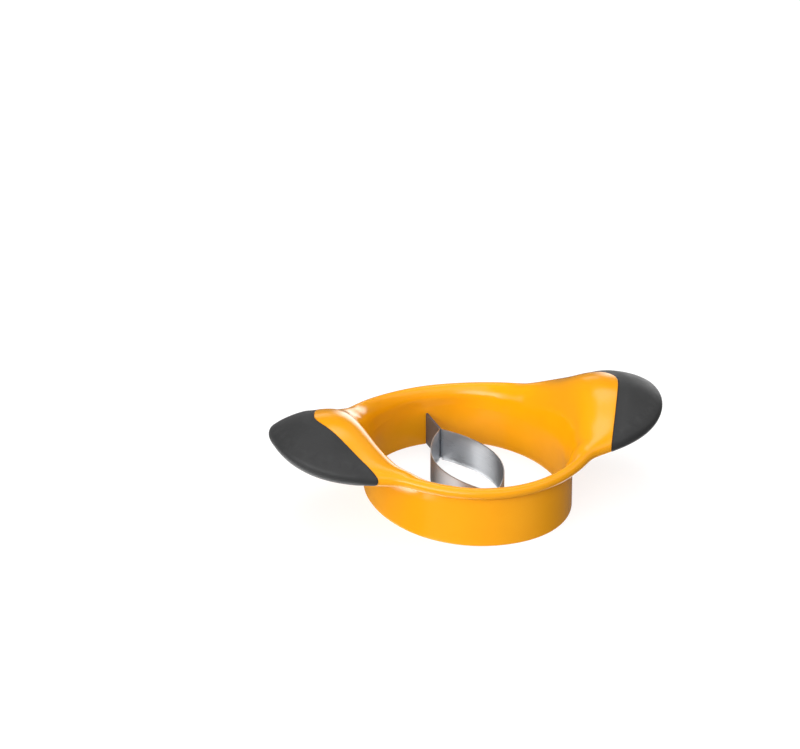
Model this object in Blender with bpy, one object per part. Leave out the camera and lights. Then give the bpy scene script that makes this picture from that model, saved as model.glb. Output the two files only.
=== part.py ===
# Mango slicer: a moulded oval collar with two broad handles, a soft grip
# over the end of each handle, and an almond-shaped loop of two thin steel
# strips inside the collar.
#
# Frame: X runs along the handles, Y along the blade, Z up. The origin is the
# centre of the collar at its bottom edge. Dimensions below are in millimetres
# and every mesh is scaled to metres when it is made.

import bpy
import bmesh
import numpy as np
from math import pi

# ------------------------------------------------------------------ sizes
WALL_A, WALL_B, WALL_N = 47.45, 60.3, 2.09   # collar, outer half axes and roundness
WALL_T = 2.4                                 # collar wall thickness
RIM_A, RIM_B, RIM_N = 60.8, 61.0, 1.92       # rim line over the collar
WING_L, WING_W, WING_N = 92.0, 41.6, 2.50    # rim line round the handles
JOIN = 7.5                                   # blend between the two
EDGE_KNOT = (0, 9, 18, 27, 36, 45, 60, 75, 90)
EDGE_Z = (39.3, 37.6, 34.1, 32.0, 30.75, 29.8, 28.4, 27.4, 27.1)
BEAD_KNOT = (0, 28, 40, 90)
BEAD_R = (3.6, 3.45, 3.1, 2.7)               # half thickness at the rounded rim
LIP_R = 0.45                                 # inner corner under the collar's rolled rim
LIP_SPAN = (4.0, 10.0)                       # overhang between which that corner fades out

RISE_0, RISE_K = 1.6, 0.583                  # how far the flare climbs before it turns
LEAN_0, LEAN_K = 2.6, 0.59                   # how long it runs level before the rim
LEAN_RING, LEAN_HANDLE = 52.0, -34.0         # angle at which it meets the rim
FOOT_RING, FOOT_HANDLE = 18.6, 17.2          # height where the flare leaves the wall
SHOULDER = 1.3                               # extra weight of the bend where a handle turns level
SHOULDER_R, SHOULDER_Z, RIM_LIFT = -2.5, -1.8, 0.8

GAP = 0.3                                    # clearance between neighbouring pieces
GRIP_X, GRIP_SLOPE, GRIP_ROUND = 75.3, 0.52, 5.48   # line where the grip begins
GRIP_TOP, GRIP_LOW, GRIP_RUN = 0.6, 2.6, 6.0        # how much fuller the grip is above and below
TONGUE_H = 1.55                              # half thickness of the core in the grip
TONGUE_DEG = 21.0
TONGUE_T0, TONGUE_T1 = 0.40, 0.958

BLADE_L, BLADE_W, BLADE_FULL = 38.0, 14.85, 0.05     # almond half length, half width
BLADE_T = 0.5
BLADE_Z0, BLADE_Z1 = 0.3, 16.6
BEVEL_Z, BEVEL_T = 1.5, 0.16                 # ground lower edge
TAB_END = 58.9                               # strips end inside the collar wall

ROWS = 96
CAP = 5
T_LIP = (0.0, 0.55, 0.68, 0.80, 1.0)         # wall, inner corner, underside and bead along the flare
FLARE = (0, 0.14, 0.28, 0.42, 0.55, 0.615, 0.68, 0.80, 0.90, 1.0)

MM = 0.001


# ------------------------------------------------------------- helper maths
def polar(a, b, n, f):
    return (np.abs(np.cos(f) / a) ** n + np.abs(np.sin(f) / b) ** n) ** (-1.0 / n)


def blend_max(p, q, k):
    d = np.clip(np.abs(p - q) / k, 0, 1)
    return np.maximum(p, q) + k * (1 - d) ** 3 / 6


def fold(f):
    return np.degrees(np.arctan2(np.abs(np.sin(f)), np.abs(np.cos(f))))


def ramp(x):
    x = np.clip(x, 0, 1)
    return x * x * x * (x * (6 * x - 15) + 10)


def above(x):
    """x where it is positive, fading smoothly to nought."""
    return 0.5 * (x + np.sqrt(x * x + 2.25))


def through(kn, v, x):
    """Cubic spline through the knots, level at both ends."""
    kn = np.asarray(kn, float)
    v = np.asarray(v, float)
    h = np.diff(kn)
    s = np.diff(v) / h
    a = np.eye(len(kn))
    b = np.zeros(len(kn))
    for i in range(1, len(kn) - 1):
        a[i, i - 1:i + 2] = 1 / h[i - 1], 2 / h[i - 1] + 2 / h[i], 1 / h[i]
        b[i] = 3 * (s[i - 1] / h[i - 1] + s[i] / h[i])
    m = np.linalg.solve(a, b)
    x = np.clip(x, kn[0], kn[-1])
    i = np.clip(np.searchsorted(kn, x) - 1, 0, len(h) - 1)
    t = (x - kn[i]) / h[i]
    return ((2 * t**3 - 3 * t**2 + 1) * v[i] + (t**3 - 2 * t**2 + t) * h[i] * m[i]
            + (-2 * t**3 + 3 * t**2) * v[i + 1] + (t**3 - t**2) * h[i] * m[i + 1])


# ----------------------------------------------------- shape of the moulding
def rim_radius(f):
    return blend_max(polar(RIM_A, RIM_B, RIM_N, f), polar(WING_L, WING_W, WING_N, f), JOIN)


def middle(f, t):
    """Mid-thickness surface. t from -1 to 0 is the wall, 0 to 1 the flare."""
    f = np.asarray(f)[:, None]
    t = np.asarray(t)[None, :]
    rc = polar(WALL_A - WALL_T / 2, WALL_B - WALL_T / 2, WALL_N, f)
    re = rim_radius(f)
    ze = through(EDGE_KNOT, EDGE_Z, fold(f))
    d = re - rc
    g = ramp((d - 3.5) / 30.0)
    q = ramp((d - 2.5) / 9.0)
    rise = RISE_0 + RISE_K * above(d - 4)
    lean = LEAN_0 + LEAN_K * above(d - 4)
    a = np.radians(LEAN_RING + (LEAN_HANDLE - LEAN_RING) * q)
    z0 = FOOT_RING + (FOOT_HANDLE - FOOT_RING) * g
    ar, az, bz = re - lean * np.cos(a), ze - lean * np.sin(a), z0 + rise
    s = np.clip(t, 0, 1)
    u = 1 - s
    k = (u**4, 4 * u**3 * s, 6 * (1 + SHOULDER * g) * u * u * s * s, 4 * u * s**3, s**4)
    total = k[0] + k[1] + k[2] + k[3] + k[4]
    r = (k[0] * rc + k[1] * rc + k[2] * ((rc + ar) / 2 + SHOULDER_R * g)
         + k[3] * (3 * ar + re) / 4 + k[4] * re) / total
    z = (k[0] * z0 + k[1] * (z0 + 3 * bz) / 4 + k[2] * ((bz + az) / 2 + SHOULDER_Z * g)
         + k[3] * ((3 * az + ze) / 4 + RIM_LIFT * g) + k[4] * ze) / total
    z = np.where(t < 0, z0 * (1 + t), z)
    return np.stack([r * np.cos(f), r * np.sin(f), z], -1)


def half_thickness(f, t):
    f = np.asarray(f)[:, None]
    t = np.asarray(t)[None, :]
    a = WALL_T / 2
    return a + (through(BEAD_KNOT, BEAD_R, fold(f)) - a) * ramp((t - 0.05) / 0.85)


def frames(f, t):
    """Points of the mid surface, normals to the upper side, outward rim direction."""
    e = 1e-4
    p = middle(f, t)
    pf = (middle(f + e, t) - middle(f - e, t)) / (2 * e)
    pt = middle(f, np.minimum(t + e, 1.0)) - middle(f, t - e)
    pt[:, t <= 0] = np.array([0, 0, 1.0])
    n = np.cross(pt, pf)
    n /= np.linalg.norm(n, axis=-1, keepdims=True)
    c = np.cross(pf, n)
    c /= np.linalg.norm(c, axis=-1, keepdims=True)
    return p, n, c


def rolled_rim(f, t):
    """Outer side of the collar: upright wall, inner corner, underside of the bead, bead."""
    f = np.asarray(f)[:, None]
    t = np.asarray(t)[None, :]
    wall = polar(WALL_A - WALL_T / 2, WALL_B - WALL_T / 2, WALL_N, f)
    re = rim_radius(f)
    d = re - wall
    wall = wall + WALL_T / 2
    ze = through(EDGE_KNOT, EDGE_Z, fold(f))
    h = through(BEAD_KNOT, BEAD_R, fold(f))
    z0 = FOOT_RING + (FOOT_HANDLE - FOOT_RING) * ramp((d - 3.5) / 30.0)
    a = np.radians(LEAN_RING + (LEAN_HANDLE - LEAN_RING) * ramp((d - 2.5) / 9.0)) - pi / 2
    under = ze - 0.985 * h
    first = np.radians(-80.0)
    s = [np.clip((t - T_LIP[i]) / (T_LIP[i + 1] - T_LIP[i]), 0, 1) for i in range(4)]
    turn = first + (a - first) * s[3]
    r = np.where(t > T_LIP[3], re + h * np.cos(turn), wall + LIP_R + (re + h * np.cos(first) - wall - LIP_R) * s[2])
    z = np.where(t > T_LIP[3], ze + h * np.sin(turn), under + (ze + h * np.sin(first) - under) * s[2])
    r = np.where(t > T_LIP[2], r, wall + LIP_R * (1 - np.cos(s[1] * pi / 2)))
    z = np.where(t > T_LIP[2], z, under - LIP_R * (1 - np.sin(s[1] * pi / 2)))
    z = np.where(t > T_LIP[1], z, z0 + (under - LIP_R - z0) * s[0])
    keep = np.where(t >= 0, 1 - ramp((d - LIP_SPAN[0]) / (LIP_SPAN[1] - LIP_SPAN[0])), 0.0)
    return np.stack([r * np.cos(f), r * np.sin(f), z], -1), keep[..., None]


def moulding_loops(f, t, cap):
    """Closed loops, one per polar angle: up the inside, round the rim, down the outside."""
    p, n, c = frames(f, t)
    h = half_thickness(f, t)[..., None]
    past = (ramp((np.abs(p[..., :1]) - grip_line(p[..., 1:2])) / GRIP_RUN)
            * ramp((np.asarray(t)[None, :, None] - 0.45) / 0.5))
    top = p + n * (h + GRIP_TOP * past)
    low = p - n * (h + GRIP_LOW * past)
    rolled, keep = rolled_rim(f, t)
    low = low * (1 - keep) + rolled * keep
    top[:, 0, 2] = 0
    low[:, 0, 2] = 0
    th = np.linspace(pi / 2, -pi / 2, cap + 2)[1:-1][None, :, None]
    tall = h[:, -1:] + np.where(th > 0, GRIP_TOP, GRIP_LOW) * past[:, -1:]
    rim = p[:, -1:] + h[:, -1:] * np.cos(th) * c[:, -1:] + tall * np.sin(th) * n[:, -1:]
    return np.concatenate([top, rim, low[:, ::-1]], 1)


def row_angles(count):
    """Polar angles spaced evenly along the rim line, symmetric about both axes."""
    f = np.linspace(0, 2 * pi, 7201)
    r = 0.5 * (rim_radius(f) + polar(WALL_A, WALL_B, WALL_N, f))
    x, y = r * np.cos(f), r * np.sin(f)
    s = np.concatenate([[0], np.cumsum(np.hypot(np.diff(x), np.diff(y)))])
    return np.interp(np.linspace(0, s[-1], count + 1)[:-1], s, f)


def grip_line(y):
    return GRIP_X - GRIP_SLOPE * (np.sqrt(y * y + 30.0) - GRIP_ROUND)


# ------------------------------------------------------------ mesh helpers
def clear_scene():
    for ob in list(bpy.data.objects):
        bpy.data.objects.remove(ob, do_unlink=True)


def make_object(name, verts, faces, material=None, smooth=True):
    me = bpy.data.meshes.new(name)
    me.from_pydata([tuple(v * MM) for v in np.asarray(verts, float)], [], faces)
    bm = bmesh.new()
    bm.from_mesh(me)
    bmesh.ops.recalc_face_normals(bm, faces=bm.faces)
    bm.to_mesh(me)
    bm.free()
    for poly in me.polygons:
        poly.use_smooth = smooth
    me.update()
    ob = bpy.data.objects.new(name, me)
    bpy.context.scene.collection.objects.link(ob)
    if material is not None:
        me.materials.append(material)
    return ob


def closed_grid(g, ring):
    """Faces for rows of closed loops. ring joins the last row to the first."""
    n, m = g.shape[:2]
    verts = g.reshape(-1, 3)
    faces = []
    for i in range(n if ring else n - 1):
        k = (i + 1) % n
        for j in range(m):
            l = (j + 1) % m
            faces.append((i * m + j, k * m + j, k * m + l, i * m + l))
    if not ring:
        # end faces as strips of quads between the two sides of the loop
        for j in range(m // 2 - 1):
            quad = (j, j + 1, m - 2 - j, m - 1 - j)
            faces.append(quad)
            faces.append(tuple((n - 1) * m + k for k in quad[::-1]))
    return verts, faces


def prism(points, z0, z1):
    n = len(points)
    verts = [(x, y, z0) for x, y in points] + [(x, y, z1) for x, y in points]
    faces = [tuple(range(n))[::-1], tuple(range(n, 2 * n))]
    faces += [(i, (i + 1) % n, n + (i + 1) % n, n + i) for i in range(n)]
    return verts, faces


def hide_tool(ob):
    ob.hide_render = True
    ob.display_type = 'WIRE'
    return ob


def boolean(ob, tool, how):
    mod = ob.modifiers.new(tool.name, 'BOOLEAN')
    mod.operation = how
    mod.solver = 'EXACT'
    mod.object = tool
    return mod


def plain_material(name, colour, rough, metal=0.0):
    mat = bpy.data.materials.new(name)
    mat.use_nodes = True
    node = mat.node_tree.nodes['Principled BSDF']
    node.inputs['Base Color'].default_value = colour
    node.inputs['Roughness'].default_value = rough
    node.inputs['Metallic'].default_value = metal
    return mat


# ------------------------------------------------------------------ pieces
def core(name, side, grow):
    """Flat tongue of the collar that runs inside the grip, or its pocket when grown."""
    fd = np.radians(np.linspace(-TONGUE_DEG, TONGUE_DEG, 15))
    t = np.linspace(TONGUE_T0, TONGUE_T1, 10)
    if grow:
        e = np.radians(grow * 0.85)
        fd = np.concatenate([[fd[0] - e], fd, [fd[-1] + e]])
        t = np.append(t, t[-1] + grow / 62.0)
    p, n, _ = frames(fd, t)
    h = TONGUE_H + grow
    g = np.concatenate([p + n * h, (p - n * h)[:, ::-1]], 1)
    if side < 0:
        g = g * np.array([-1.0, 1.0, 1.0])
    return hide_tool(make_object(name, *closed_grid(g, False), smooth=False))


def handle_region(name, side, shift):
    """Upright block standing over everything outside the grip line."""
    ys = np.linspace(-60, 60, 61)
    pts = [(grip_line(y) + shift, y) for y in ys] + [(125.0, 60.0), (125.0, -60.0)]
    pts = [(side * x, y) for x, y in pts]
    return hide_tool(make_object(name, *prism(pts, -15.0, 75.0), smooth=False))


def blade_strip(name, side, material):
    """One strip: straight tab, curved half of the almond, straight tab."""
    ys = np.concatenate([[-TAB_END, -52.0, -46.0], np.linspace(-BLADE_L, BLADE_L, 37), [46.0, 52.0, TAB_END]])
    u = np.clip(ys / BLADE_L, -1, 1)
    x = GAP / 2 + BLADE_T / 2 + BLADE_W * (1 - u**2) * (1 + BLADE_FULL * u**2)
    path = np.stack([side * x, ys], -1)
    d = np.diff(path, axis=0)
    d /= np.linalg.norm(d, axis=1)[:, None]
    d0 = np.vstack([d[:1], d])
    d1 = np.vstack([d, d[-1:]])
    tan = d0 + d1
    tan /= np.linalg.norm(tan, axis=1)[:, None]
    nor = np.stack([-tan[:, 1], tan[:, 0]], -1)
    mitre = 1.0 / np.sum(nor * np.stack([-d1[:, 1], d1[:, 0]], -1), 1)
    nor *= mitre[:, None]
    h = BLADE_T / 2
    prof = [(BEVEL_T / 2, BLADE_Z0), (h, BLADE_Z0 + BEVEL_Z), (h, BLADE_Z1),
            (-h, BLADE_Z1), (-h, BLADE_Z0 + BEVEL_Z), (-BEVEL_T / 2, BLADE_Z0)]
    g = np.array([[(px + o * nx, py + o * ny, z) for o, z in prof]
                  for (px, py), (nx, ny) in zip(path, nor)])
    return make_object(name, *closed_grid(g, False), material=material, smooth=False)


def box_tool(name, x0, x1, y0, y1, z0, z1):
    return hide_tool(make_object(name, *prism([(x0, y0), (x1, y0), (x1, y1), (x0, y1)], z0, z1), smooth=False))


def main():
    clear_scene()
    plastic = plain_material('collar_plastic', (0.90, 0.36, 0.02, 1), 0.22)
    soft_l = plain_material('grip_left_soft', (0.035, 0.036, 0.038, 1), 0.65)
    soft_r = plain_material('grip_right_soft', (0.036, 0.036, 0.038, 1), 0.65)
    steel_l = plain_material('blade_left_steel', (0.62, 0.62, 0.63, 1), 0.25, 1.0)
    steel_r = plain_material('blade_right_steel', (0.63, 0.62, 0.62, 1), 0.25, 1.0)

    f = row_angles(ROWS)
    t = np.array((-1.0,) + FLARE)
    verts, faces = closed_grid(moulding_loops(f, t, CAP), True)

    body = make_object('body', verts, faces, plastic)
    for side, tag in ((1, 'right'), (-1, 'left')):
        cut = handle_region('cut_' + tag, side, -GAP * 0.56)
        boolean(cut, core('core_' + tag, side, 0.0), 'DIFFERENCE')
        boolean(body, cut, 'DIFFERENCE')
        keep = handle_region('keep_' + tag, side, GAP * 0.56)
        boolean(keep, core('pocket_' + tag, side, GAP), 'DIFFERENCE')
        grip = make_object('grip_' + tag, verts, faces, soft_r if side > 0 else soft_l)
        boolean(grip, keep, 'INTERSECT')
    # slots that hold the ends of the strips, open at the bottom edge
    w = GAP / 2 + BLADE_T + GAP
    for side, tag in ((1, 'back'), (-1, 'front')):
        y0, y1 = sorted((side * 55.0, side * (TAB_END + GAP)))
        boolean(body, box_tool('slot_' + tag, -w, w, y0, y1, -2.0, BLADE_Z1 + GAP), 'DIFFERENCE')
    blade_strip('blade_left', -1, steel_l)
    blade_strip('blade_right', 1, steel_r)


main()
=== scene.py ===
# Looks of the mango slicer: a glossy yellow-orange moulding with charcoal soft
# grips and an almond-shaped loop of two stainless strips.
#
# Frame: X runs along the handles, Y along the blade, Z up. The origin is the
# centre of the collar at its bottom edge. The construction below is in
# millimetres and every mesh is scaled to metres when it is made.
from math import cos, pi, radians, sin

import bmesh
import bpy
import numpy as np
from mathutils import Matrix, Vector


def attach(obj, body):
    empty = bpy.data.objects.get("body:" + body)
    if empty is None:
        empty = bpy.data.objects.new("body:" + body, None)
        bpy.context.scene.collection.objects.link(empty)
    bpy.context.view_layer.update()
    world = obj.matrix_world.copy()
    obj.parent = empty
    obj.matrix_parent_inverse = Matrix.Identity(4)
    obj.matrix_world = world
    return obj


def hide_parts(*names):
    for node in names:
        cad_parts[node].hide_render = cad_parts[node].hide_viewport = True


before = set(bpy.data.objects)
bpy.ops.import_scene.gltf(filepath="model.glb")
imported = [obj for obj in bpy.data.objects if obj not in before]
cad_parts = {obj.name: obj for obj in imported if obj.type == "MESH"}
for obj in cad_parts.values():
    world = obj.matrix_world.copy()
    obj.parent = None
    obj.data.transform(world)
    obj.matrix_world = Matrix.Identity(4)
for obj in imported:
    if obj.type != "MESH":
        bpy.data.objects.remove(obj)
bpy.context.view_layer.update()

MM = 0.001

# ------------------------------------------------------------------ sizes
WALL_A, WALL_B, WALL_N = 47.45, 60.3, 2.09   # collar, outer half axes and roundness
WALL_T = 2.4
RIM_A, RIM_B, RIM_N = 60.8, 61.0, 1.92       # rim line over the collar
WING_L, WING_W, WING_N = 92.0, 41.6, 2.50    # rim line round the handles
JOIN = 7.5
EDGE_KNOT = (0, 9, 18, 27, 36, 45, 60, 75, 90)
EDGE_Z = (39.3, 37.6, 34.1, 32.0, 30.75, 29.8, 28.4, 27.4, 27.1)
BEAD_KNOT = (0, 28, 40, 90)
BEAD_R = (3.6, 3.45, 3.1, 2.7)
LIP_R = 0.45                                 # inner corner under the rolled rim
LIP_SPAN = (4.0, 10.0)
T_LIP = (0.0, 0.55, 0.68, 0.80, 1.0)         # wall, inner corner, underside and bead
SHOULDER = 1.3
SHOULDER_R, SHOULDER_Z, RIM_LIFT = -2.5, -1.8, 0.8
RISE_0, RISE_K = 1.6, 0.583
LEAN_0, LEAN_K = 2.6, 0.59
LEAN_RING, LEAN_HANDLE = 52.0, -34.0
FOOT_RING, FOOT_HANDLE = 18.6, 17.2
GRIP_X, GRIP_SLOPE, GRIP_ROUND = 75.3, 0.52, 5.48
GRIP_TOP, GRIP_LOW, GRIP_RUN = 0.6, 2.6, 6.0
TONGUE_H, TONGUE_DEG = 1.55, 21.0
TONGUE_T0, TONGUE_T1 = 0.40, 0.958
BLADE_L, BLADE_W, BLADE_FULL = 38.0, 14.85, 0.05
BLADE_T = 0.5
BLADE_Z0, BLADE_Z1 = 0.3, 16.6
TAB_END = 58.9

SEAM = 0.03          # clearance between two pieces moulded or pressed together
ROWS = 720           # polar rows round the moulding
CAP = 16             # columns round the rim bead
SHRINK = np.array([0.9993, 0.9996, 0.9970])   # the fine surface stays inside the faceted one


# ------------------------------------------------------------- helper maths
def polar(a, b, n, f):
    return (np.abs(np.cos(f) / a) ** n + np.abs(np.sin(f) / b) ** n) ** (-1.0 / n)


def blend_max(p, q, k):
    d = np.clip(np.abs(p - q) / k, 0, 1)
    return np.maximum(p, q) + k * (1 - d) ** 3 / 6


def fold(f):
    return np.degrees(np.arctan2(np.abs(np.sin(f)), np.abs(np.cos(f))))


def ramp(x):
    x = np.clip(x, 0, 1)
    return x * x * x * (x * (6 * x - 15) + 10)


def above(x):
    """x where it is positive, fading smoothly to nought."""
    return 0.5 * (x + np.sqrt(x * x + 2.25))


def through(kn, v, x):
    """Cubic spline through the knots, level at both ends."""
    kn = np.asarray(kn, float)
    v = np.asarray(v, float)
    h = np.diff(kn)
    s = np.diff(v) / h
    a = np.eye(len(kn))
    b = np.zeros(len(kn))
    for i in range(1, len(kn) - 1):
        a[i, i - 1:i + 2] = 1 / h[i - 1], 2 / h[i - 1] + 2 / h[i], 1 / h[i]
        b[i] = 3 * (s[i - 1] / h[i - 1] + s[i] / h[i])
    m = np.linalg.solve(a, b)
    x = np.clip(x, kn[0], kn[-1])
    i = np.clip(np.searchsorted(kn, x) - 1, 0, len(h) - 1)
    t = (x - kn[i]) / h[i]
    return ((2 * t**3 - 3 * t**2 + 1) * v[i] + (t**3 - 2 * t**2 + t) * h[i] * m[i]
            + (-2 * t**3 + 3 * t**2) * v[i + 1] + (t**3 - t**2) * h[i] * m[i + 1])


# ----------------------------------------------------- shape of the moulding
def rim_radius(f):
    return blend_max(polar(RIM_A, RIM_B, RIM_N, f), polar(WING_L, WING_W, WING_N, f), JOIN)


def middle(f, t):
    """Mid-thickness surface. t from -1 to 0 is the wall, 0 to 1 the flare."""
    f = np.asarray(f)[:, None]
    t = np.asarray(t)[None, :]
    rc = polar(WALL_A - WALL_T / 2, WALL_B - WALL_T / 2, WALL_N, f)
    re = rim_radius(f)
    ze = through(EDGE_KNOT, EDGE_Z, fold(f))
    d = re - rc
    g = ramp((d - 3.5) / 30.0)
    q = ramp((d - 2.5) / 9.0)
    rise = RISE_0 + RISE_K * above(d - 4)
    lean = LEAN_0 + LEAN_K * above(d - 4)
    a = np.radians(LEAN_RING + (LEAN_HANDLE - LEAN_RING) * q)
    z0 = FOOT_RING + (FOOT_HANDLE - FOOT_RING) * g
    ar, az, bz = re - lean * np.cos(a), ze - lean * np.sin(a), z0 + rise
    s = np.clip(t, 0, 1)
    u = 1 - s
    k = (u**4, 4 * u**3 * s, 6 * (1 + SHOULDER * g) * u * u * s * s, 4 * u * s**3, s**4)
    total = k[0] + k[1] + k[2] + k[3] + k[4]
    r = (k[0] * rc + k[1] * rc + k[2] * ((rc + ar) / 2 + SHOULDER_R * g)
         + k[3] * (3 * ar + re) / 4 + k[4] * re) / total
    z = (k[0] * z0 + k[1] * (z0 + 3 * bz) / 4 + k[2] * ((bz + az) / 2 + SHOULDER_Z * g)
         + k[3] * ((3 * az + ze) / 4 + RIM_LIFT * g) + k[4] * ze) / total
    z = np.where(t < 0, z0 * (1 + t), z)
    return np.stack([r * np.cos(f), r * np.sin(f), z], -1)


def half_thickness(f, t):
    f = np.asarray(f)[:, None]
    t = np.asarray(t)[None, :]
    a = WALL_T / 2
    return a + (through(BEAD_KNOT, BEAD_R, fold(f)) - a) * ramp((t - 0.05) / 0.85)


def frames(f, t):
    """Points of the mid surface, normals to the upper side, outward rim direction."""
    e = 1e-4
    p = middle(f, t)
    pf = (middle(f + e, t) - middle(f - e, t)) / (2 * e)
    pt = middle(f, np.minimum(t + e, 1.0)) - middle(f, t - e)
    pt[:, t <= 0] = np.array([0, 0, 1.0])
    n = np.cross(pt, pf)
    n /= np.linalg.norm(n, axis=-1, keepdims=True)
    c = np.cross(pf, n)
    c /= np.linalg.norm(c, axis=-1, keepdims=True)
    return p, n, c


def rolled_rim(f, t):
    """Outer side of the collar: upright wall, inner corner, underside of the bead, bead."""
    f = np.asarray(f)[:, None]
    t = np.asarray(t)[None, :]
    wall = polar(WALL_A - WALL_T / 2, WALL_B - WALL_T / 2, WALL_N, f)
    re = rim_radius(f)
    d = re - wall
    wall = wall + WALL_T / 2
    ze = through(EDGE_KNOT, EDGE_Z, fold(f))
    h = through(BEAD_KNOT, BEAD_R, fold(f))
    z0 = FOOT_RING + (FOOT_HANDLE - FOOT_RING) * ramp((d - 3.5) / 30.0)
    a = np.radians(LEAN_RING + (LEAN_HANDLE - LEAN_RING) * ramp((d - 2.5) / 9.0)) - pi / 2
    under = ze - 0.985 * h
    first = np.radians(-80.0)
    s = [np.clip((t - T_LIP[i]) / (T_LIP[i + 1] - T_LIP[i]), 0, 1) for i in range(4)]
    turn = first + (a - first) * s[3]
    r = np.where(t > T_LIP[3], re + h * np.cos(turn), wall + LIP_R + (re + h * np.cos(first) - wall - LIP_R) * s[2])
    z = np.where(t > T_LIP[3], ze + h * np.sin(turn), under + (ze + h * np.sin(first) - under) * s[2])
    r = np.where(t > T_LIP[2], r, wall + LIP_R * (1 - np.cos(s[1] * pi / 2)))
    z = np.where(t > T_LIP[2], z, under - LIP_R * (1 - np.sin(s[1] * pi / 2)))
    z = np.where(t > T_LIP[1], z, z0 + (under - LIP_R - z0) * s[0])
    keep = np.where(t >= 0, 1 - ramp((d - LIP_SPAN[0]) / (LIP_SPAN[1] - LIP_SPAN[0])), 0.0)
    return np.stack([r * np.cos(f), r * np.sin(f), z], -1), keep[..., None]


def moulding_loops(f, t):
    """Closed loops, one per polar angle: up the inside, round the rim, down the outside."""
    p, n, c = frames(f, t)
    h = half_thickness(f, t)[..., None]
    past = (ramp((np.abs(p[..., :1]) - grip_line(p[..., 1:2])) / GRIP_RUN)
            * ramp((np.asarray(t)[None, :, None] - 0.45) / 0.5))
    top = p + n * (h + GRIP_TOP * past)
    low = p - n * (h + GRIP_LOW * past)
    rolled, keep = rolled_rim(f, t)
    low = low * (1 - keep) + rolled * keep
    top[:, 0, 2] = 0
    low[:, 0, 2] = 0
    th = np.linspace(pi / 2, -pi / 2, CAP + 2)[1:-1][None, :, None]
    tall = h[:, -1:] + np.where(th > 0, GRIP_TOP, GRIP_LOW) * past[:, -1:]
    rim = p[:, -1:] + h[:, -1:] * np.cos(th) * c[:, -1:] + tall * np.sin(th) * n[:, -1:]
    # the bottom edge of the wall is softened with a small radius
    foot = []
    for side, edge in ((1, low[:, :1]), (-1, top[:, :1])):
        out = -n[:, :1] * side
        steps = [(0.55 * (1 - sin(a)), 0.55 * (1 - cos(a))) for a in np.radians((90, 67.5, 45, 22.5, 0))]
        pts = [edge - out * dx + np.array([0, 0, dz]) for dx, dz in steps]
        # steps run from the wall face to the level edge
        foot.append([q for q in (pts if side > 0 else pts[::-1])])
    return np.concatenate(foot[1] + [top[:, 1:], rim, low[:, :0:-1]] + foot[0], 1)


def row_angles(count):
    """Polar angles spaced evenly along the rim line, symmetric about both axes."""
    f = np.linspace(0, 2 * pi, 14401)
    r = 0.5 * (rim_radius(f) + polar(WALL_A, WALL_B, WALL_N, f))
    x, y = r * np.cos(f), r * np.sin(f)
    s = np.concatenate([[0], np.cumsum(np.hypot(np.diff(x), np.diff(y)))])
    return np.interp(np.linspace(0, s[-1], count + 1)[:-1], s, f)


def grip_line(y):
    return GRIP_X - GRIP_SLOPE * (np.sqrt(y * y + 30.0) - GRIP_ROUND)


# ------------------------------------------------------------- mesh helpers
def link(name, me):
    ob = bpy.data.objects.new(name, me)
    bpy.context.scene.collection.objects.link(ob)
    return ob


def mesh_object(name, verts, faces):
    me = bpy.data.meshes.new(name)
    me.from_pydata((np.asarray(verts, float) * MM).tolist(), [], [tuple(int(i) for i in fc) for fc in faces])
    me.update()
    return link(name, me)


def loop_faces(n, m, ring):
    """Faces for n rows of closed loops of m points. ring joins the last row to the first."""
    i = np.arange(n if ring else n - 1)[:, None]
    j = np.arange(m)[None, :]
    k = (i + 1) % n
    l = (j + 1) % m
    quads = np.stack([i * m + j + 0 * l, k * m + j, k * m + l, i * m + l], -1).reshape(-1, 4).tolist()
    if not ring:
        for j in range(m // 2 - 1):
            quad = (j, j + 1, m - 2 - j, m - 1 - j)
            quads.append(quad)
            quads.append(tuple((n - 1) * m + q for q in quad[::-1]))
    return quads


def prism(points, z0, z1):
    n = len(points)
    verts = [(x, y, z0) for x, y in points] + [(x, y, z1) for x, y in points]
    faces = [tuple(range(n))[::-1], tuple(range(n, 2 * n))]
    faces += [(i, (i + 1) % n, n + (i + 1) % n, n + i) for i in range(n)]
    return verts, faces


def outward(ob):
    bm = bmesh.new()
    bm.from_mesh(ob.data)
    bmesh.ops.recalc_face_normals(bm, faces=bm.faces)
    bm.to_mesh(ob.data)
    bm.free()
    return ob


def cut(ob, tool, how='DIFFERENCE'):
    """Applies an exact Boolean and leaves a plain mesh."""
    mod = ob.modifiers.new('cut', 'BOOLEAN')
    mod.operation = how
    mod.solver = 'EXACT'
    mod.object = tool
    made = bpy.data.meshes.new_from_object(ob.evaluated_get(bpy.context.evaluated_depsgraph_get()))
    ob.modifiers.remove(mod)
    old = ob.data
    ob.data = made
    bpy.data.meshes.remove(old)
    return ob


def drop(*obs):
    for ob in obs:
        me = ob.data
        bpy.data.objects.remove(ob, do_unlink=True)
        bpy.data.meshes.remove(me)


def points_of(me):
    co = np.zeros(len(me.vertices) * 3, np.float32)
    me.vertices.foreach_get('co', co)
    return co.reshape(-1, 3).astype(float) / MM


def set_points(me, co):
    me.vertices.foreach_set('co', (np.asarray(co) * MM).astype(np.float32).ravel())
    me.update()


def add_value(me, name, values):
    at = me.attributes.new(name, 'FLOAT', 'POINT')
    at.data.foreach_set('value', np.asarray(values, np.float32))


def shade(ob, angle):
    ob.data.shade_smooth()
    ob.data.set_sharp_from_angle(angle=radians(angle))


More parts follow.
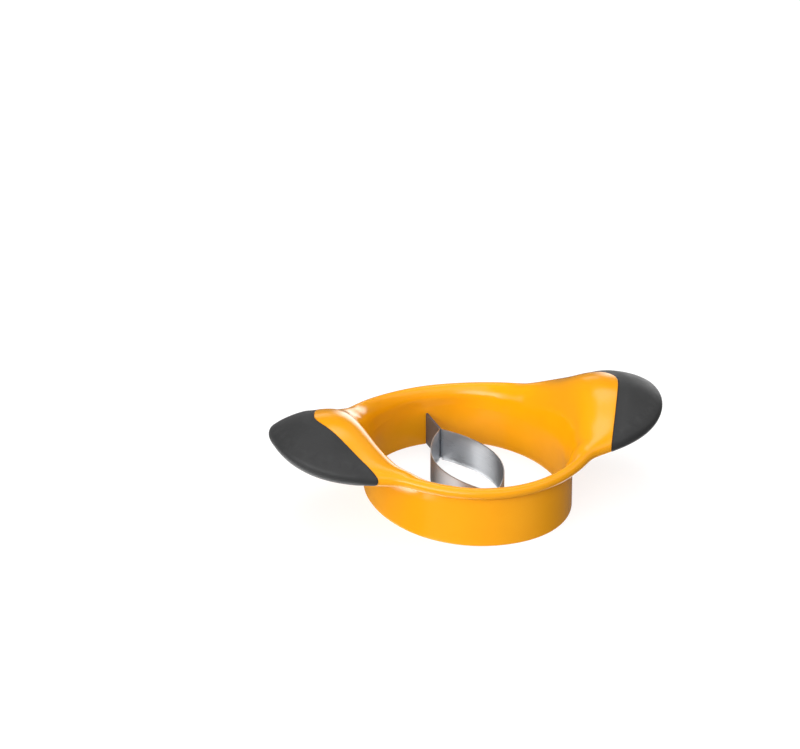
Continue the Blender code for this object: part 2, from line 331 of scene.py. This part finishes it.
# ----------------------------------------------------------- the moulding
f_rows = row_angles(ROWS)
t_cols = np.concatenate([np.linspace(-1.0, 0.0, 12)[:-1], np.linspace(0, 0.55, 22)[:-1],
                         np.linspace(0.55, 0.68, 9)[:-1], np.linspace(0.68, 0.80, 6)[:-1], np.linspace(0.80, 1.0, 12)])
loops = moulding_loops(f_rows, t_cols)
LOOP = loops.shape[1]
moulding_faces = loop_faces(len(loops), LOOP, True)


def side_shift(co, side):
    """Straightens the grip line of one side: x becomes the distance past that line."""
    out = co.copy()
    out[:, 0] = side * co[:, 0] - grip_line(co[:, 1])
    return out


def side_unshift(co, side):
    out = co.copy()
    out[:, 0] = side * (co[:, 0] + grip_line(co[:, 1]))
    return out


RINGS = (0.0, 0.05, 0.11, 0.18, 0.27, 0.38, 0.52, 0.75)   # extra edge loops beside the grip line


def lined_moulding(name):
    """The moulding with edge loops along both grip lines."""
    ob = outward(mesh_object(name, loops.reshape(-1, 3), moulding_faces))
    for side in (1, -1):
        me = ob.data
        set_points(me, side_shift(points_of(me), side))
        bm = bmesh.new()
        bm.from_mesh(me)
        for w in [SEAM / 2 + r for r in RINGS] + [-SEAM / 2 - r for r in RINGS]:
            near = [fc for fc in bm.faces if abs(fc.calc_center_median().x / MM - w) < 3.0]
            geom = set(near)
            for fc in near:
                geom.update(fc.edges)
                geom.update(fc.verts)
            bmesh.ops.bisect_plane(bm, geom=list(geom), plane_co=(w * MM, 0, 0), plane_no=(1, 0, 0), dist=1e-9)
        bm.to_mesh(me)
        bm.free()
        set_points(me, side_unshift(points_of(me), side))
    return ob


def core(name, side, grow):
    """Flat tongue of the moulding that runs inside the grip, or its pocket when grown."""
    fd = np.radians(np.linspace(-TONGUE_DEG, TONGUE_DEG, 41))
    t = np.linspace(TONGUE_T0, TONGUE_T1, 24)
    if grow:
        e = np.radians(grow * 0.85)
        fd = np.concatenate([[fd[0] - e], fd, [fd[-1] + e]])
        t = np.append(t, t[-1] + grow / 62.0)
    p, n, _ = frames(fd, t)
    h = TONGUE_H + grow
    g = np.concatenate([p + n * h, (p - n * h)[:, ::-1]], 1)
    if side < 0:
        g = g * np.array([-1.0, 1.0, 1.0])
    return outward(mesh_object(name, g.reshape(-1, 3), loop_faces(g.shape[0], g.shape[1], False)))


def handle_region(name, side, shift):
    """Upright block standing over everything outside the grip line."""
    ys = np.concatenate([np.linspace(-60, -12, 49), np.linspace(-12, 12, 97)[1:-1], np.linspace(12, 60, 49)])
    pts = [(grip_line(y) + shift, y) for y in ys] + [(125.0, 60.0), (125.0, -60.0)]
    pts = [(side * x, y) for x, y in pts]
    return outward(mesh_object(name, *prism(pts, -15.0, 75.0)))


def round_edge(ob, side, inner, radius):
    """Rounds the edge that the grip line leaves. inner is -1 on the collar's side and 1 on the grip's."""
    me = ob.data
    co = points_of(me)
    w = side_shift(co, side)[:, 0] * inner - SEAM / 2
    # only points of the outer skin move: they carry faces of that skin
    bm = bmesh.new()
    bm.from_mesh(me)
    bm.normal_update()
    slope = GRIP_SLOPE * co[:, 1] / np.sqrt(co[:, 1] ** 2 + 30.0)
    length = np.sqrt(1 + slope**2)
    move = np.zeros_like(co)
    for v in bm.verts:
        wi = w[v.index]
        if wi < -0.01 or wi > radius * length[v.index]:
            continue
        s, line = slope[v.index], length[v.index]
        sheet = Vector((side / line, s / line, 0))
        n = Vector((0, 0, 0))
        found = 0
        for fc in v.link_faces:
            if abs(fc.normal.dot(sheet)) < 0.97:
                n += fc.normal * fc.calc_area()
                found += 1
        if not found or n.length < 1e-12:
            continue
        n.normalize()
        d = max(wi, 0.0) / line
        depth = radius - np.sqrt(max(radius**2 - (radius - d) ** 2, 0.0))
        move[v.index] = -np.array(n) * depth
    bm.free()
    set_points(me, co + move)


# collar with both handles
body = lined_moulding('collar_moulding')
plain = body.data.copy()
for side, tag in ((1, 'right'), (-1, 'left')):
    region = handle_region('region_' + tag, side, -SEAM / 2)
    tongue = core('core_' + tag, side, 0.0)
    cut(region, tongue)
    cut(body, region)
    drop(region, tongue)
for side in (1, -1):
    y0, y1 = sorted((side * 56.0, side * (TAB_END + SEAM)))
    w = SEAM / 2 + BLADE_T + SEAM
    tool = outward(mesh_object('slot_tool', *prism([(-w, y0), (w, y0), (w, y1), (-w, y1)], -2.0, BLADE_Z1 + SEAM)))
    cut(body, tool)
    drop(tool)

# soft grips
grips = {}
for side, tag in ((1, 'right'), (-1, 'left')):
    grip = link('soft_grip_' + tag, plain.copy())
    region = handle_region('region_' + tag, side, SEAM / 2)
    pocket = core('pocket_' + tag, side, 0.05)
    cut(region, pocket)
    cut(grip, region, 'INTERSECT')
    drop(region, pocket)
    grips[tag] = grip
bpy.data.meshes.remove(plain)
for side, tag in ((1, 'right'), (-1, 'left')):
    round_edge(body, side, -1, 0.22)
    round_edge(grips[tag], side, 1, 0.34)


def finish_skin(ob):
    """Stores where the rim bead and the worn foot are, and where shade is painted along the grip seams and under the
    rolled rim, for the material.
    """
    co = points_of(ob.data)
    f = np.arctan2(co[:, 1], co[:, 0])
    r = np.hypot(co[:, 0], co[:, 1])
    bead = through(BEAD_KNOT, BEAD_R, fold(f))
    crest = np.exp(-((r - rim_radius(f)) / (bead * 0.9)) ** 2) * (co[:, 2] > 20)
    foot = np.exp(-(co[:, 2] / 0.8) ** 2)
    # painted shade along both grip seams, darkest on the seam line
    seam_shade = np.zeros(len(co))
    for side in (1, -1):
        w = np.abs(side_shift(co, side)[:, 0])
        seam_shade = np.maximum(seam_shade, np.exp(-(w / 0.5) ** 2))
    add_value(ob.data, 'crest', crest)
    add_value(ob.data, 'foot', foot)
    add_value(ob.data, 'seam_shade', seam_shade)
    # painted shade in the inner corner under the rolled rim, where the bead shades the wall
    over = r - polar(WALL_A, WALL_B, WALL_N, f)
    drop_z = co[:, 2] - (through(EDGE_KNOT, EDGE_Z, fold(f)) - 0.985 * bead)
    d = rim_radius(f) - polar(WALL_A - WALL_T / 2, WALL_B - WALL_T / 2, WALL_N, f)
    under_rim_shade = np.exp(-(drop_z / 0.75) ** 2 - ((over - 0.3) / 0.9) ** 2) * (1 - ramp((d - LIP_SPAN[0]) / 12.0))
    add_value(ob.data, 'under_rim_shade', under_rim_shade)
    set_points(ob.data, co * SHRINK)
    shade(ob, 38)


for ob in [body] + list(grips.values()):
    finish_skin(ob)


# --------------------------------------------------------------- the strips
def strip_path(side):
    """Centre line of one strip, with small bend radii where the tabs meet the almond."""
    ys = np.concatenate([np.linspace(-TAB_END, -BLADE_L - 3, 24)[:-1], np.linspace(-BLADE_L - 3, BLADE_L + 3, 321),
                         np.linspace(BLADE_L + 3, TAB_END, 24)[1:]])
    u = np.clip(ys / BLADE_L, -1, 1)
    bow = BLADE_W * (1 - u**2) * (1 + BLADE_FULL * u**2)
    # soften the two creases: blend the bow to the tab line over about 1.5 mm
    near = np.abs(np.abs(ys) - BLADE_L)
    k = 1.6
    soft = np.where(near < k, 0.655 * (k - (np.abs(ys) - BLADE_L)) ** 2 / (4 * k) * 1.22, bow)
    x = SEAM / 2 + BLADE_T / 2 + np.where(near < k, soft, bow)
    return np.stack([side * x, ys], -1)


def strip(name, side):
    path = strip_path(side)
    d = np.diff(path, axis=0)
    seg = np.linalg.norm(d, axis=1)
    d /= seg[:, None]
    tan = np.vstack([d[:1], d]) + np.vstack([d, d[-1:]])
    tan /= np.linalg.norm(tan, axis=1)[:, None]
    nor = np.stack([-tan[:, 1], tan[:, 0]], -1)
    h = BLADE_T / 2
    e = 0.07
    half = [(0.06, BLADE_Z0), (0.085, BLADE_Z0 + 0.03)]
    half += [(0.085 + (h - 0.085) * k, BLADE_Z0 + 0.03 + 1.47 * k) for k in (0.33, 0.66, 1.0)]
    half += [(h, z) for z in np.linspace(BLADE_Z0 + 1.7, BLADE_Z1 - e, 26)]
    half += [(h - e * (1 - cos(a)), BLADE_Z1 - e + e * sin(a)) for a in (pi / 6, pi / 3, pi / 2)]
    prof = half + [(-o, z) for o, z in half[::-1]]
    g = np.array([[(px + o * nx, py + o * ny, z) for o, z in prof] for (px, py), (nx, ny) in zip(path, nor)])
    ob = outward(mesh_object(name, g.reshape(-1, 3), loop_faces(g.shape[0], g.shape[1], False)))
    along = np.concatenate([[0], np.cumsum(seg)])
    add_value(ob.data, 'along', np.repeat(along, len(prof)) * MM)
    ground = np.array([1.0 if z < BLADE_Z0 + 1.55 else 0.0 for o, z in prof])
    add_value(ob.data, 'ground', np.tile(ground, len(path)))
    add_value(ob.data, 'tab', np.repeat(ramp((np.abs(path[:, 1]) - BLADE_L - 0.2) / 1.2), len(prof)))
    shade(ob, 25)
    return ob


strips = {'right': strip('steel_strip_right', 1), 'left': strip('steel_strip_left', -1)}


# ---------------------------------------------------------------- materials
class Tree:
    """Short hand for building a node tree."""

    def __init__(self, name):
        self.mat = bpy.data.materials.new(name)
        self.mat.use_nodes = True
        self.t = self.mat.node_tree
        self.p = self.t.nodes['Principled BSDF']

    def node(self, kind, **props):
        n = self.t.nodes.new(kind)
        for k, v in props.items():
            setattr(n, k, v)
        return n

    def wire(self, a, b):
        self.t.links.new(a, b)

    def coords(self, scale=(1, 1, 1), turn=(0, 0, 0)):
        c = self.node('ShaderNodeTexCoord')
        m = self.node('ShaderNodeMapping')
        m.inputs['Scale'].default_value = scale
        m.inputs['Rotation'].default_value = turn
        self.wire(c.outputs['Object'], m.inputs['Vector'])
        return m.outputs['Vector']

    def noise(self, vec, scale, detail=2.0, rough=0.5, warp=0.0):
        n = self.node('ShaderNodeTexNoise')
        n.inputs['Scale'].default_value = scale
        n.inputs['Detail'].default_value = detail
        n.inputs['Roughness'].default_value = rough
        n.inputs['Distortion'].default_value = warp
        self.wire(vec, n.inputs['Vector'])
        return n.outputs['Fac']

    def spread(self, fac, lo, hi, a, b):
        """Maps fac from lo..hi to a..b."""
        m = self.node('ShaderNodeMapRange')
        for k, v in (('From Min', lo), ('From Max', hi), ('To Min', a), ('To Max', b)):
            m.inputs[k].default_value = v
        self.wire(fac, m.inputs['Value'])
        return m.outputs['Result']

    def math(self, how, a, b):
        m = self.node('ShaderNodeMath', operation=how)
        for i, v in enumerate((a, b)):
            if isinstance(v, (int, float)):
                m.inputs[i].default_value = v
            else:
                self.wire(v, m.inputs[i])
        return m.outputs[0]

    def value(self, name):
        a = self.node('ShaderNodeAttribute', attribute_name=name)
        return a.outputs['Fac']

    def ramp(self, fac, stops):
        r = self.node('ShaderNodeValToRGB')
        el = r.color_ramp.elements
        while len(el) < len(stops):
            el.new(0.5)
        for e, (pos, col) in zip(el, stops):
            e.position = pos
            e.color = (*col, 1)
        self.wire(fac, r.inputs['Fac'])
        return r.outputs['Color']

    def mix(self, fac, a, b, how='MIX'):
        m = self.node('ShaderNodeMix', data_type='RGBA', blend_type=how)
        if isinstance(fac, (int, float)):
            m.inputs[0].default_value = fac
        else:
            self.wire(fac, m.inputs[0])
        for i, v in ((6, a), (7, b)):
            if isinstance(v, tuple):
                m.inputs[i].default_value = (*v, 1)
            else:
                self.wire(v, m.inputs[i])
        return m.outputs[2]

    def bump(self, height, strength, distance, under=None):
        b = self.node('ShaderNodeBump')
        b.inputs['Strength'].default_value = strength
        b.inputs['Distance'].default_value = distance
        self.wire(height, b.inputs['Height'])
        if under is not None:
            self.wire(under, b.inputs['Normal'])
        return b.outputs['Normal']

    def put(self, **sockets):
        for k, v in sockets.items():
            s = self.p.inputs[k.replace('_', ' ')]
            if isinstance(v, (int, float, tuple)):
                s.default_value = v
            else:
                self.wire(v, s)


def plastic():
    m = Tree('glossy_collar_plastic')
    obj = m.coords()
    broad = m.noise(obj, 26.0, 3.0, 0.55, 0.3)
    flow = m.noise(m.coords((1, 1, 2.2)), 160.0, 3.0, 0.6, 0.8)
    colour = m.ramp(broad, [(0.30, (0.905, 0.352, 0.0022)), (0.55, (0.930, 0.372, 0.0030)), (0.78, (0.945, 0.390, 0.0042))])
    colour = m.mix(m.spread(flow, 0.35, 0.70, 0.0, 0.10), colour, (0.965, 0.420, 0.008))
    worn = m.math('MAXIMUM', m.math('MULTIPLY', m.value('crest'), 0.55), m.value('foot'))
    worn = m.math('MULTIPLY', worn, m.spread(m.noise(obj, 420.0, 4.0, 0.65), 0.45, 0.68, 0.0, 1.0))
    colour = m.mix(m.math('MULTIPLY', worn, 0.22), colour, (0.980, 0.500, 0.030))
    # painted shade along the grip seam
    colour = m.mix(m.math('MULTIPLY', m.value('seam_shade'), 0.30), colour, (0.62, 0.20, 0.004))
    # painted shade in the inner corner under the rolled rim
    colour = m.mix(m.math('MULTIPLY', m.value('under_rim_shade'), 0.60), colour, (0.58, 0.13, 0.002))
    # fine hairline marks, mostly along the wall
    hair = m.noise(m.coords((1.0, 1.0, 40.0), (0.35, 0.1, 0.5)), 95.0, 2.0, 0.5, 0.2)
    hair = m.spread(hair, 0.66, 0.74, 0.0, 1.0)
    peel = m.noise(obj, 620.0, 2.0, 0.5)
    micro = m.noise(obj, 5200.0, 2.0, 0.6)
    rough = m.math('ADD', m.spread(m.noise(obj, 75.0, 3.0, 0.6), 0.3, 0.75, 0.125, 0.205), m.math('MULTIPLY', hair, 0.05))
    rough = m.math('ADD', rough, m.math('MULTIPLY', worn, 0.14))
    nor = m.bump(peel, 0.035, 0.00010)
    nor = m.bump(micro, 0.05, 0.00002, nor)
    nor = m.bump(hair, 0.05, 0.00002, nor)
    m.put(Base_Color=colour, Roughness=rough, Normal=nor, IOR=1.49, Specular_IOR_Level=0.42)
    m.p.inputs['Subsurface Weight'].default_value = 0.0
    return m.mat


def rubber(tag, seed):
    m = Tree('soft_grip_' + tag)
    obj = m.coords((1, 1, 1), (0, 0, seed))
    broad = m.noise(obj, 45.0, 3.0, 0.55, 0.4)
    colour = m.ramp(broad, [(0.30, (0.0270, 0.0272, 0.0276)), (0.75, (0.0335, 0.0337, 0.0341))])
    dust = m.spread(m.noise(obj, 1500.0, 4.0, 0.7), 0.60, 0.74, 0.0, 1.0)
    colour = m.mix(m.math('MULTIPLY', dust, 0.18), colour, (0.105, 0.105, 0.108))
    worn = m.math('MULTIPLY', m.value('crest'), m.spread(m.noise(obj, 260.0, 4.0, 0.65), 0.40, 0.70, 0.0, 1.0))
    colour = m.mix(m.math('MULTIPLY', worn, 0.20), colour, (0.075, 0.075, 0.077))
    # painted shade on the grip along its seam with the collar
    colour = m.mix(m.math('MULTIPLY', m.value('seam_shade'), 0.75), colour, (0.012, 0.010, 0.010))
    rough = m.math('SUBTRACT', m.spread(m.noise(obj, 110.0, 3.0, 0.6), 0.3, 0.75, 0.50, 0.62), m.math('MULTIPLY', worn, 0.10))
    grain = m.node('ShaderNodeTexVoronoi', feature='F1')
    grain.inputs['Scale'].default_value = 2600.0
    m.wire(obj, grain.inputs['Vector'])
    fine = m.noise(obj, 4200.0, 3.0, 0.65)
    nor = m.bump(grain.outputs['Distance'], 0.16, 0.00006)
    nor = m.bump(fine, 0.20, 0.00005, nor)
    m.put(Base_Color=colour, Roughness=rough, Normal=nor, IOR=1.45, Specular_IOR_Level=0.40)
    m.p.inputs['Sheen Weight'].default_value = 0.05
    m.p.inputs['Sheen Roughness'].default_value = 0.45
    return m.mat


def steel(tag, seed):
    m = Tree('rolled_steel_' + tag)
    # rolling lines run along the strip, so they are long in plan and fine in height
    lines = m.noise(m.coords((1, 1, 70.0), (0, 0, seed)), 22.0, 4.0, 0.65)
    fine = m.noise(m.coords((1, 1, 60.0), (0, 0, seed + 1.0)), 140.0, 3.0, 0.7)
    stain = m.noise(m.coords((1, 1, 1), (0, 0, seed)), 70.0, 3.0, 0.6, 0.5)
    # grinding marks across the lower edge
    cross = m.noise(m.coords((14.0, 14.0, 1.0)), 240.0, 3.0, 0.7)
    ground, tab = m.value('ground'), m.value('tab')
    base = m.ramp(lines, [(0.32, (0.655, 0.674, 0.703)), (0.60, (0.690, 0.708, 0.736)), (0.80, (0.720, 0.738, 0.765))])
    base = m.mix(m.spread(stain, 0.45, 0.75, 0.0, 0.14), base, (0.50, 0.51, 0.53))
    base = m.mix(m.math('MULTIPLY', ground, m.spread(cross, 0.35, 0.7, 0.2, 0.8)), base, (0.76, 0.77, 0.79))
    # painted dark reflection on the tabs: dark grey colour, less metallic and rougher
    base = m.mix(m.math('MULTIPLY', tab, 0.92), base, (0.060, 0.075, 0.100))
    rough = m.math('ADD', m.spread(fine, 0.3, 0.75, 0.265, 0.305), m.spread(stain, 0.4, 0.8, 0.0, 0.03))
    rough = m.math('ADD', rough, m.math('MULTIPLY', ground, m.spread(cross, 0.3, 0.7, 0.02, 0.14)))
    rough = m.math('ADD', rough, m.math('MULTIPLY', tab, m.spread(stain, 0.3, 0.7, 0.14, 0.20)))
    metal = m.math('SUBTRACT', 1.0, m.math('MULTIPLY', tab, 0.72))
    height = m.mix(ground, fine, cross)
    nor = m.bump(height, 0.04, 0.00002)
    nor = m.bump(lines, 0.03, 0.00002, nor)
    tangent = m.node('ShaderNodeTangent', direction_type='RADIAL', axis='Z')
    m.wire(tangent.outputs['Tangent'], m.p.inputs['Tangent'])
    m.put(Base_Color=base, Roughness=rough, Normal=nor, Metallic=metal)
    m.p.inputs['Anisotropic'].default_value = 0.92
    m.p.inputs['Anisotropic Rotation'].default_value = 0.25
    return m.mat


body.data.materials.clear()
body.data.materials.append(plastic())
for k, (tag, ob) in enumerate(grips.items()):
    ob.data.materials.clear()
    ob.data.materials.append(rubber(tag, 0.7 * k))
for k, (tag, ob) in enumerate(strips.items()):
    ob.data.materials.append(steel(tag, 0.9 * k))

# ------------------------------------------------------- pieces on the frame
for ob, node, slot in ((body, 'body', 'collar_plastic'),
                       (grips['left'], 'grip_left', 'grip_soft'), (grips['right'], 'grip_right', 'grip_soft'),
                       (strips['left'], 'blade_left', 'blade_steel'), (strips['right'], 'blade_right', 'blade_steel')):
    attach(ob, 'root')
    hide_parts(node)


# -------------------------------------------------------------------- studio
def floor():
    """Large round pale sheet, lit and slightly self-lit, clear when seen from below."""
    rings = [0.0, 0.05, 0.1, 0.2, 0.4, 0.8, 1.6, 3.2, 5.0]
    n = 96
    verts = [(0, 0, 0)]
    faces = []
    for r in rings[1:]:
        verts += [(r * cos(2 * pi * i / n), r * sin(2 * pi * i / n), 0) for i in range(n)]
    for i in range(n):
        faces.append((0, 1 + i, 1 + (i + 1) % n))
    for k in range(len(rings) - 2):
        a, b = 1 + k * n, 1 + (k + 1) * n
        for i in range(n):
            j = (i + 1) % n
            faces.append((a + i, b + i, b + j, a + j))
    me = bpy.data.meshes.new('pale_floor')
    me.from_pydata(verts, [], faces)
    ob = link('pale_floor', me)
    m = Tree('pale_floor')
    grain = m.noise(m.coords(), 35.0, 3.0, 0.6)
    m.put(Base_Color=m.ramp(grain, [(0.3, (FLOOR_PALE * 0.98,) * 3), (0.7, (FLOOR_PALE * 1.02,) * 3)]), Roughness=0.9)
    m.p.inputs['Specular IOR Level'].default_value = 0.0
    m.p.inputs['Emission Color'].default_value = (1, 1, 1, 1)
    m.p.inputs['Emission Strength'].default_value = FLOOR_GLOW
    back = m.node('ShaderNodeNewGeometry')
    clear = m.node('ShaderNodeBsdfTransparent')
    blend = m.node('ShaderNodeMixShader')
    out = m.t.nodes['Material Output']
    m.wire(back.outputs['Backfacing'], blend.inputs[0])
    m.wire(m.p.outputs[0], blend.inputs[1])
    m.wire(clear.outputs[0], blend.inputs[2])
    m.wire(blend.outputs[0], out.inputs['Surface'])
    me.materials.append(m.mat)
    # the room alone lights the object; the floor only receives its shadow
    ob.visible_diffuse = ob.visible_glossy = ob.visible_shadow = False
    return ob


FLOOR_PALE, FLOOR_GLOW = 0.30, 0.80
TARGET = Vector((0, 0, 0.02))


def soft_box(name, azimuth, elevation, distance, width, height, watts, gloss=True):
    """Area light that looks at the object. Azimuth is measured from +X towards +Y."""
    li = bpy.data.lights.new(name, 'AREA')
    li.shape = 'RECTANGLE'
    li.size, li.size_y = width, height
    li.energy = watts
    ob = bpy.data.objects.new(name, li)
    bpy.context.scene.collection.objects.link(ob)
    a, e = radians(azimuth), radians(elevation)
    away = Vector((cos(a) * cos(e), sin(a) * cos(e), sin(e)))
    ob.location = TARGET + away * distance
    ob.rotation_mode = 'QUATERNION'
    ob.rotation_quaternion = away.to_track_quat('Z', 'Y')
    ob.visible_camera = False
    ob.visible_glossy = gloss
    return ob


def soft_room():
    """Dim room with pale bands: brightness by direction, in degrees from +X towards +Y and upwards."""
    world = bpy.data.worlds.new('soft_room')
    world.use_nodes = True
    t = world.node_tree

    def node(kind, *wires, **props):
        n = t.nodes.new(kind)
        for k, v in props.items():
            setattr(n, k, v)
        for i, w in enumerate(wires):
            if isinstance(w, (int, float)):
                n.inputs[i].default_value = w
            else:
                t.links.new(w, n.inputs[i])
        return n

    def calc(how, *wires):
        return node('ShaderNodeMath', *wires, operation=how).outputs[0]

    def band(fac, lo, hi, stops):
        r = node('ShaderNodeValToRGB', calc('DIVIDE', calc('SUBTRACT', fac, float(lo)), float(hi - lo)))
        r.color_ramp.interpolation = 'EASE'
        el = r.color_ramp.elements
        while len(el) < len(stops):
            el.new(0.5)
        for e, (at, v) in zip(el, stops):
            e.position = (at - lo) / (hi - lo)
            e.color = (v, v, v, 1)
        return node('ShaderNodeRGBToBW', r.outputs['Color']).outputs[0]

    way = node('ShaderNodeSeparateXYZ', node('ShaderNodeTexCoord').outputs['Generated']).outputs
    rise = calc('MULTIPLY', calc('ARCSINE', way[2]), 180 / pi)
    swing = calc('MULTIPLY', calc('ARCTAN2', way[1], way[0]), 180 / pi)
    total = None
    for around, height in ROOM:
        part = calc('MULTIPLY', band(swing, -180, 180, around), band(rise, -90, 90, height))
        total = part if total is None else calc('ADD', total, part)
    t.links.new(total, t.nodes['Background'].inputs['Strength'])
    t.nodes['Background'].inputs['Color'].default_value = (1, 1, 1, 1)
    bpy.context.scene.world = world


ROOM = (
    # under the object
    (((-180, 2.6), (-165, 2.4), (-148, 0.8), (-110, 0.4), (-30, 0.4), (0, 0.15), (28, 0.15), (42, 2.4), (60, 2.8),
      (75, 1.2), (90, 1.4), (100, 3.8), (115, 4.2), (143, 4.2), (153, 0.3), (172, 0.12), (179, 2.2)),
     ((-90, 1.0), (-38, 1.0), (-26, 0.0))),
    # round the horizon
    (((-180, 0.22), (-150, 0.35), (-60, 0.35), (-10, 0.14), (180, 0.12)), ((-38, 0.0), (-27, 1.0), (90, 1.0))),
    # pale band over the front
    (((-165, 0.0), (-140, 1.0), (-15, 0.8), (25, 0.3), (60, 0.0)), ((26, 0.0), (36, 1.2), (54, 1.2), (64, 0.0))),
    # soft spot at the front left
    (((-180, 0.3), (-165, 1.0), (-125, 1.0), (-98, 0.0), (168, 0.0), (180, 0.3)), ((2, 0.0), (12, 5.8), (25, 5.8), (35, 0.0))),
    # soft spot overhead
    (((15, 0.0), (50, 1.0), (90, 1.0), (118, 0.0)), ((50, 0.0), (61, 2.4), (73, 2.4), (81, 0.0))),
    # upright pale strip behind on the right
    (((34, 0.0), (44, 1.0), (62, 1.0), (72, 0.0)), ((-14, 0.0), (-4, 3.0), (12, 3.0), (22, 0.0))),
    # faint round spot behind
    (((68, 0.0), (74, 1.0), (82, 1.0), (88, 0.0)), ((14, 0.0), (19, 0.9), (24, 0.9), (29, 0.0))),
    # ceiling
    (((-180, 1.0), (180, 1.0)), ((60, 0.0), (78, 0.5), (90, 0.5))),
)

floor()
soft_room()
soft_box('top_fill', 105, 64, 1.5, 1.2, 0.9, 6.6, gloss=False)
soft_box('front_fill', -106, 30, 1.6, 1.3, 0.8, 1.8, gloss=False)

bpy.context.scene.view_settings.view_transform = 'Standard'

# -------------------------------------------------------------------- camera
AZ, EL = radians(-18.83), radians(23.25)
right = Vector((cos(AZ), sin(AZ), 0))
back = Vector((sin(AZ) * cos(EL), -cos(AZ) * cos(EL), sin(EL)))
up = back.cross(right)
cam_data = bpy.data.cameras.new('photo_camera')
cam_data.sensor_width = 36.0
cam_data.lens = 36.0 * 3403.0 / 800.0
cam_data.clip_start, cam_data.clip_end = 0.05, 30.0
cam = bpy.data.objects.new('photo_camera', cam_data)
bpy.context.scene.collection.objects.link(cam)
turn = Matrix((right, up, back)).transposed()
cam.matrix_world = Matrix.Translation(back * 1.6205 - right * 0.03186 + up * 0.05576) @ turn.to_4x4()
bpy.context.scene.camera = cam
